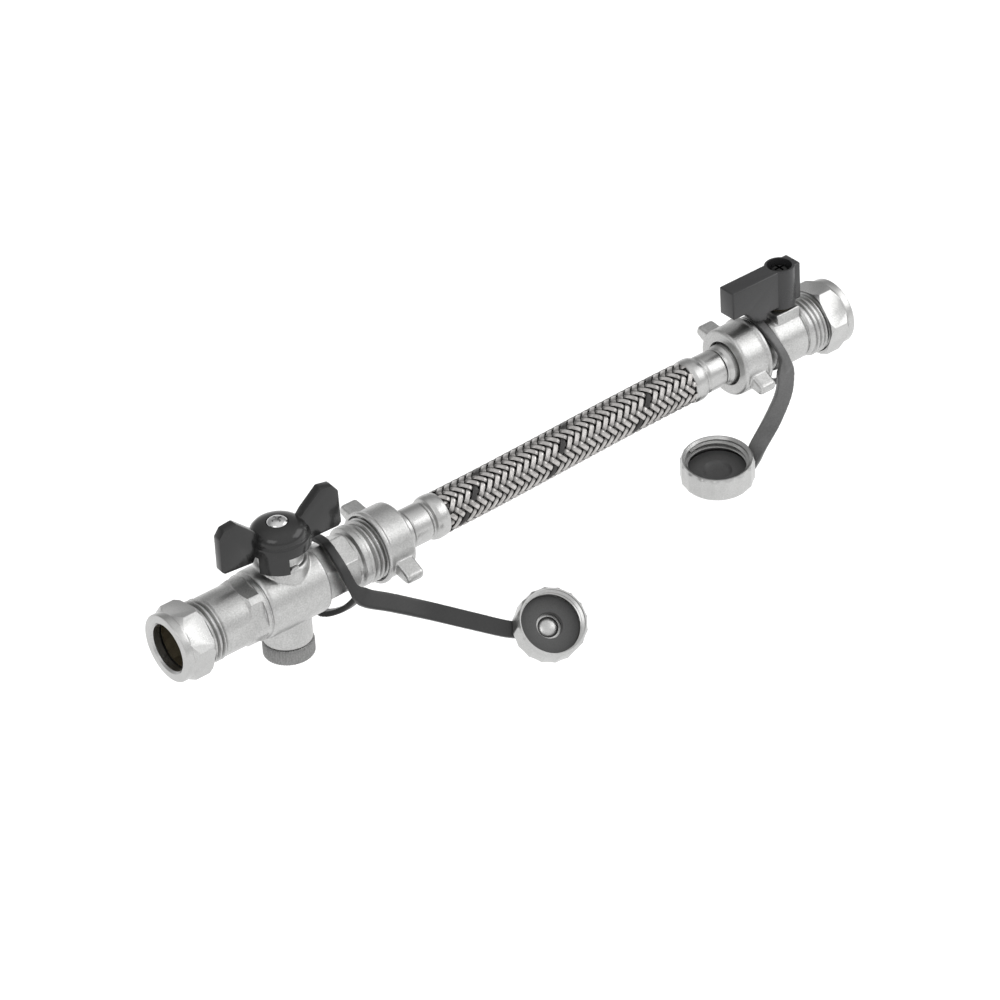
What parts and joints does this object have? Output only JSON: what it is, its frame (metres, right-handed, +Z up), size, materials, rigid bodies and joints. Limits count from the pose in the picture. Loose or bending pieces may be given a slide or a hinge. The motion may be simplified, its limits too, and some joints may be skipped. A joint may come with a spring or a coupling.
{
  "type": "straight filling loop",
  "caption": "Straight filling loop: check valve with wing handle, braided hose with wing nuts, lever isolating valve and blanking caps on straps.",
  "frame": {"origin": "centre of the near compression nut's open face, on the pipe axis", "axes": "+X along the hose towards the lever valve, -Y towards the user, +Z up, the side of both handles"},
  "size_m": [0.2746, 0.077, 0.0738],
  "materials": {
    "satin_nickel": "nickel plated brass, satin with a fine blasted grain",
    "turned_nickel": "nickel plated brass, turned smooth",
    "brass": "plain machined brass",
    "steel": "bright plated or stainless steel",
    "stainless_braid": "bright braided stainless wire with a black tracer bundle each way",
    "gloss_black": "smooth, slightly glossy black moulding",
    "matt_black": "matt black moulding",
    "rubber": "matt black rubber",
    "ptfe": "smooth white fluoropolymer",
    "acetal": "smooth off-white moulding"
  },
  "bodies": {
    "frame": {"inlet_connector": "satin_nickel", "near_olive": "brass", "inlet_check_housing": "acetal", "inlet_check_spring": "steel", "valve_body": "satin_nickel", "near_seat_inlet": "ptfe", "near_seat_outlet": "ptfe", "near_stem_oring": "rubber", "outlet_connector": "satin_nickel", "outlet_check_housing": "acetal", "outlet_check_spring": "steel", "near_seal_washer": "rubber", "near_hose_tail": "turned_nickel", "near_ferrule": "turned_nickel", "hose_liner": "rubber", "hose_braid": "stainless_braid", "far_ferrule": "turned_nickel", "far_hose_tail": "turned_nickel", "far_seal_washer": "rubber", "far_valve_body": "satin_nickel", "far_seat_retainer": "brass", "far_seat_hose": "ptfe", "far_seat_pipe": "ptfe", "far_stem_oring": "rubber", "far_olive": "brass"},
    "near_handle": {"wing_handle": "gloss_black", "wing_handle_screw": "steel", "near_stem": "brass", "near_ball": "steel"},
    "far_lever": {"lever": "matt_black", "lever_screw": "steel", "far_stem": "brass", "far_ball": "steel"},
    "near_compression_nut": {"near_nut": "turned_nickel"},
    "far_compression_nut": {"far_nut": "turned_nickel"},
    "near_hose_nut": {"near_wing_nut": "satin_nickel"},
    "far_hose_nut": {"far_wing_nut": "satin_nickel"},
    "branch_plug": {"drain_plug": "satin_nickel"},
    "inlet_poppet": {"inlet_check_poppet": "acetal"},
    "outlet_poppet": {"outlet_check_poppet": "acetal"},
    "near_tether": {"near_strap": "matt_black"},
    "near_blanking_cap": {"near_cap": "turned_nickel", "near_cap_washer": "rubber"},
    "far_tether": {"far_strap": "matt_black"},
    "far_blanking_cap": {"far_cap": "turned_nickel", "far_cap_washer": "rubber"}
  },
  "joints": [
    {"name": "near_handle_turn", "type": "hinge", "parent": "frame", "child": "near_handle", "pos_m": [0.0449, 0, 0], "axis": [0, 0, 1], "range_deg": [-85.5, 4.5]},
    {"name": "far_lever_turn", "type": "hinge", "parent": "frame", "child": "far_lever", "pos_m": [0.2518, 0, 0.0026], "axis": [0, 0, 1], "range_deg": [0, 90]},
    {"name": "near_nut_turn", "type": "hinge", "parent": "frame", "child": "near_compression_nut", "pos_m": [0, 0, 0], "axis": [1, 0, 0], "continuous": true},
    {"name": "far_nut_turn", "type": "hinge", "parent": "frame", "child": "far_compression_nut", "pos_m": [0.2746, 0, 0.0026], "axis": [1, 0, 0], "continuous": true},
    {"name": "near_wing_nut_turn", "type": "hinge", "parent": "frame", "child": "near_hose_nut", "pos_m": [0.0777, 0, 0], "axis": [1, 0, 0], "continuous": true},
    {"name": "far_wing_nut_turn", "type": "hinge", "parent": "frame", "child": "far_hose_nut", "pos_m": [0.2378, 0, 0.0026], "axis": [1, 0, 0], "continuous": true},
    {"name": "drain_plug_turn", "type": "hinge", "parent": "frame", "child": "branch_plug", "pos_m": [0.0449, 0, -0.0235], "axis": [0, 0, 1], "continuous": true},
    {"name": "inlet_poppet_lift", "type": "slide", "parent": "frame", "child": "inlet_poppet", "axis": [1, 0, 0], "range_m": [0, 0.003], "stiffness_N_per_m": 100, "springref_m": -0.0015, "deforming": ["inlet_check_spring"]},
    {"name": "outlet_poppet_lift", "type": "slide", "parent": "frame", "child": "outlet_poppet", "axis": [1, 0, 0], "range_m": [0, 0.003], "stiffness_N_per_m": 100, "springref_m": -0.0015, "deforming": ["outlet_check_spring"]},
    {"name": "near_strap_swing", "type": "hinge", "parent": "frame", "child": "near_tether", "pos_m": [0.061, 0, 0], "axis": [1, 0, 0], "range_deg": [-30, 60]},
    {"name": "near_cap_turn", "type": "hinge", "parent": "near_tether", "child": "near_blanking_cap", "pos_m": [0.1114, -0.0461, -0.0234], "axis": [-0.171, -0.6337, 0.7544], "continuous": true},
    {"name": "far_strap_swing", "type": "hinge", "parent": "frame", "child": "far_tether", "pos_m": [0.2412, 0, 0.0026], "axis": [1, 0, 0], "range_deg": [-15, 40]},
    {"name": "far_cap_turn", "type": "hinge", "parent": "far_tether", "child": "far_blanking_cap", "pos_m": [0.2183, -0.0048, -0.037], "axis": [-0.0498, -0.0796, 0.9956], "continuous": true}
  ]
}
